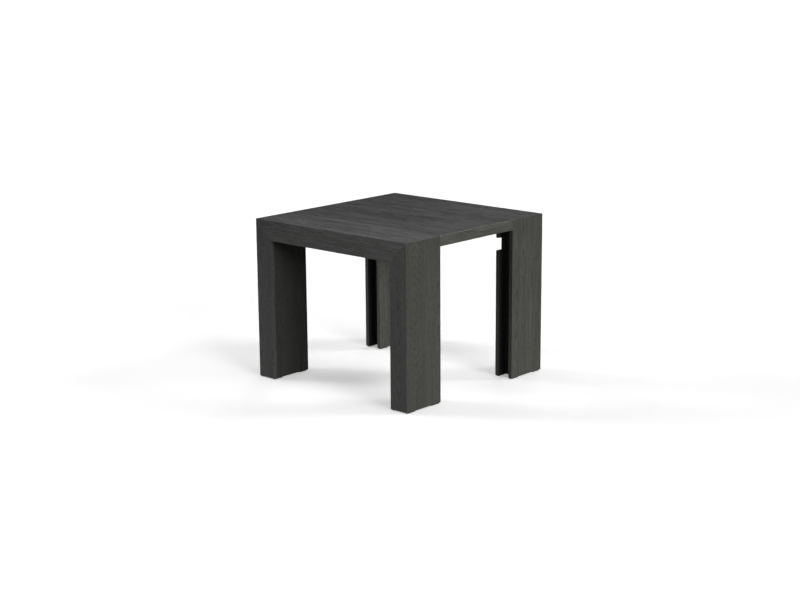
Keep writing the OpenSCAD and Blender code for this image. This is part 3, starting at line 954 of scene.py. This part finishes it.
def makeStuds(look):
    low, high, middle = cornersOf("leaf_studs")
    ledge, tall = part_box("leaf_ledge")[1].z - low.z, high.z - low.z
    r, neck = look["radius"], look["neck"]
    tip = [(r * share, tall - look["tip"] * drop) for share, drop in look["rounding"]]
    bm = bmesh.new()
    for y in (low.y + r, high.y - r):
        spinProfile(bm, [
            (0, 0), (r, 0), (r, ledge - look["neckEdge"]), (neck, ledge), (neck, ledge + look["neckHeight"]),
            (r, ledge + look["shoulder"]), *tip, (0, tall),
        ], (middle.x, y, low.z), look["steps"])
    mesh = smoothMesh(bm, "leaf_studs", look["sharpFrom"])
    finishMesh(mesh, "leaf_studs.detailed", bodyOf["leaf_studs"], [finishes["zincSteel"]],
               ("leaf_studs",))


# Bushes in the leaf that drop over the studs
leafBush = {
    "outer": 0.0065,
    "bore": 0.0041,
    "lead": 0.0010,
    "leadCurve": ((0, 1.6), (0.4, 0.5), (1, 0)),  # shares of the lead, out from the bore and up
    "boreEdge": 0.0003,
    "topEdge": 0.0005,
    "steps": 40,
    "sharpFrom": 40,
}


def makeBushes(look):
    low, high, middle = cornersOf("leaf_bushes")
    tall, outer, bore, lead = high.z - low.z, look["outer"], look["bore"], look["lead"]
    soft, topSoft = look["boreEdge"], look["topEdge"]
    mouth = [(bore + lead * out, lead * up) for out, up in look["leadCurve"]]
    bm = bmesh.new()
    for y in (low.y + outer, high.y - outer):
        spinProfile(bm, [
            (bore + lead, 0), (outer - soft, 0), (outer, soft), (outer, tall - topSoft),
            (outer - topSoft, tall), (bore + soft, tall), (bore, tall - soft), *mouth,
        ], (middle.x, y, low.z), look["steps"])
    mesh = smoothMesh(bm, "leaf_bushes", look["sharpFrom"])
    finishMesh(mesh, "leaf_bushes.detailed", bodyOf["leaf_bushes"], [finishes["whiteNylon"]],
               ("leaf_bushes",))


makeStuds(leafStud)
makeBushes(leafBush)

# Nylon caps pressed into the near end of each bar
barCap = {
    "thick": 0.0012,
    "inset": 0.0004,
    "width": 0.0226,
    "corner": 0.002,
    "cornerSteps": 4,
    "edge": 0.0004,
    "edgeSteps": 2,
}


def makeBarCaps(stage, look):
    low, high, middle = cornersOf("slide_bars_%d" % stage)
    capMiddle = low.x - look["thick"] / 2
    bm = bmesh.new()
    for y in (low.y + look["width"] / 2, high.y - look["width"] / 2):
        size = Vector((look["thick"], look["width"] - 2 * look["inset"], high.z - low.z - 2 * look["inset"]))
        place = Matrix.Translation((capMiddle, y, middle.z)) @ Matrix.Diagonal(size).to_4x4()
        bmesh.ops.create_cube(bm, size=1, matrix=place)
    corners = [e for e in bm.edges if abs(e.verts[0].co.x - e.verts[1].co.x) > look["thick"] / 2]
    bmesh.ops.bevel(bm, geom=corners, offset=look["corner"], offset_type="OFFSET", affect="EDGES",
                    segments=look["cornerSteps"], profile=0.5, material=-1)
    outer = [e for e in bm.edges if max(v.co.x for v in e.verts) < capMiddle]
    bmesh.ops.bevel(bm, geom=outer, offset=look["edge"], offset_type="OFFSET", affect="EDGES",
                    segments=look["edgeSteps"], profile=0.5, material=-1)
    finishMesh(smoothMesh(bm, "bar_caps_%d" % stage), "slide_bar_caps_%d" % stage,
               bodyOf["slide_bars_%d" % stage], [finishes["blackNylon"]])


for stage in slideStages:
    makeBarCaps(stage, barCap)
print("slides and fittings")

# Floor, background and light
studio = {
    "floorReach": 60,
    "floorBounce": 0.17,
    "floorShown": 0.96,
    "floorGlow": 0.36,
    "skyOnObject": 0.0,
}
# Large soft lamps all round: where each lies from the table and how wide it looks, in degrees
lamps = {
    "rightLow": {"azimuth": -15, "elevation": 18, "strength": 1.17, "spread": 22},
    "rightMiddle": {"azimuth": 0, "elevation": 18, "strength": 0.26, "spread": 22},
    "rightBack": {"azimuth": 45, "elevation": 30, "strength": 1.04, "spread": 22},
    "backLeft": {"azimuth": 90, "elevation": 38, "strength": 0.24, "spread": 22},
    "backHigh": {"azimuth": 120, "elevation": 38, "strength": 0.40, "spread": 22},
    "behind": {"azimuth": 180, "elevation": 38, "strength": 0.42, "spread": 22},
    "leftLow": {"azimuth": -150, "elevation": 18, "strength": 1.65, "spread": 22},
    "above": {"azimuth": 0, "elevation": 62, "strength": 0.26, "spread": 22},
}
softBox = {"place": (-0.50, -0.50, 2.30), "across": 1.2, "watts": 4.9}


def grey(value):
    return (value, value, value, 1)


# One where the camera sees a surface, also in a reflection or through a clear one
def seenDirectly(tree, rays):
    indirect = calc(tree, "MAXIMUM", rays["Is Glossy Ray"], rays["Is Transmission Ray"])
    return calc(tree, "MAXIMUM", rays["Is Camera Ray"], indirect)


def mixShaders(tree, factor, first, second):
    node = addNode(tree, "ShaderNodeMixShader", {0: factor, 1: first, 2: second})
    return node.outputs[0]


def makeFloor(look):
    bm = bmesh.new()
    bmesh.ops.create_grid(bm, x_segments=1, y_segments=1, size=look["floorReach"])
    mesh = bpy.data.meshes.new("floor")
    bm.to_mesh(mesh)
    bm.free()
    floor = bpy.data.objects.new("floor", mesh)
    bpy.context.scene.collection.objects.link(floor)
    material, tree, shader = startMaterial("studioFloor")
    tree.nodes.remove(shader)
    rays = addNode(tree, "ShaderNodeLightPath").outputs
    pale = addNode(tree, "ShaderNodeBsdfDiffuse", {"Color": grey(look["floorShown"])}).outputs[0]
    glow = addNode(tree, "ShaderNodeEmission", {"Strength": look["floorGlow"]}).outputs[0]
    shown = addNode(tree, "ShaderNodeAddShader", {0: pale, 1: glow}).outputs[0]
    plain = addNode(tree, "ShaderNodeBsdfDiffuse", {"Color": grey(look["floorBounce"])}).outputs[0]
    choice = mixShaders(tree, seenDirectly(tree, rays), plain, shown)
    # From underneath the floor is clear, so the table's underside shows
    back = addNode(tree, "ShaderNodeNewGeometry").outputs["Backfacing"]
    clear = addNode(tree, "ShaderNodeBsdfTransparent").outputs[0]
    sided = mixShaders(tree, times(tree, back, rays["Is Camera Ray"]), choice, clear)
    tree.links.new(sided, tree.nodes["Material Output"].inputs["Surface"])
    mesh.materials.append(material)


def makeBackground(look):
    world = bpy.data.worlds.new("studio")
    bpy.context.scene.world = world
    world.use_nodes = True
    tree = world.node_tree
    background = tree.nodes["Background"]
    direct = seenDirectly(tree, addNode(tree, "ShaderNodeLightPath").outputs)
    background.inputs["Color"].default_value = grey(1)
    tree.links.new(remap(tree, direct, 0.0, 1.0, look["skyOnObject"], 1.0), background.inputs["Strength"])


def makeLamps(looks):
    for name, look in looks.items():
        lamp = bpy.data.lights.new(name, "SUN")
        lamp.energy = look["strength"]
        lamp.angle = math.radians(look["spread"])
        holder = bpy.data.objects.new(name, lamp)
        holder.rotation_mode = "QUATERNION"
        holder.rotation_quaternion = outwards(look["azimuth"], look["elevation"]).to_track_quat("Z", "Y")
        bpy.context.scene.collection.objects.link(holder)


def makeSoftBox(look):
    lamp = bpy.data.lights.new("frontBox", "AREA")
    lamp.energy = look["watts"]
    lamp.shape = "SQUARE"
    lamp.size = look["across"]
    holder = bpy.data.objects.new("frontBox", lamp)
    holder.location = look["place"]
    bpy.context.scene.collection.objects.link(holder)


makeFloor(studio)
makeBackground(studio)
makeLamps(lamps)
makeSoftBox(softBox)
bpy.context.scene.view_settings.view_transform = "Standard"
print("floor and light")
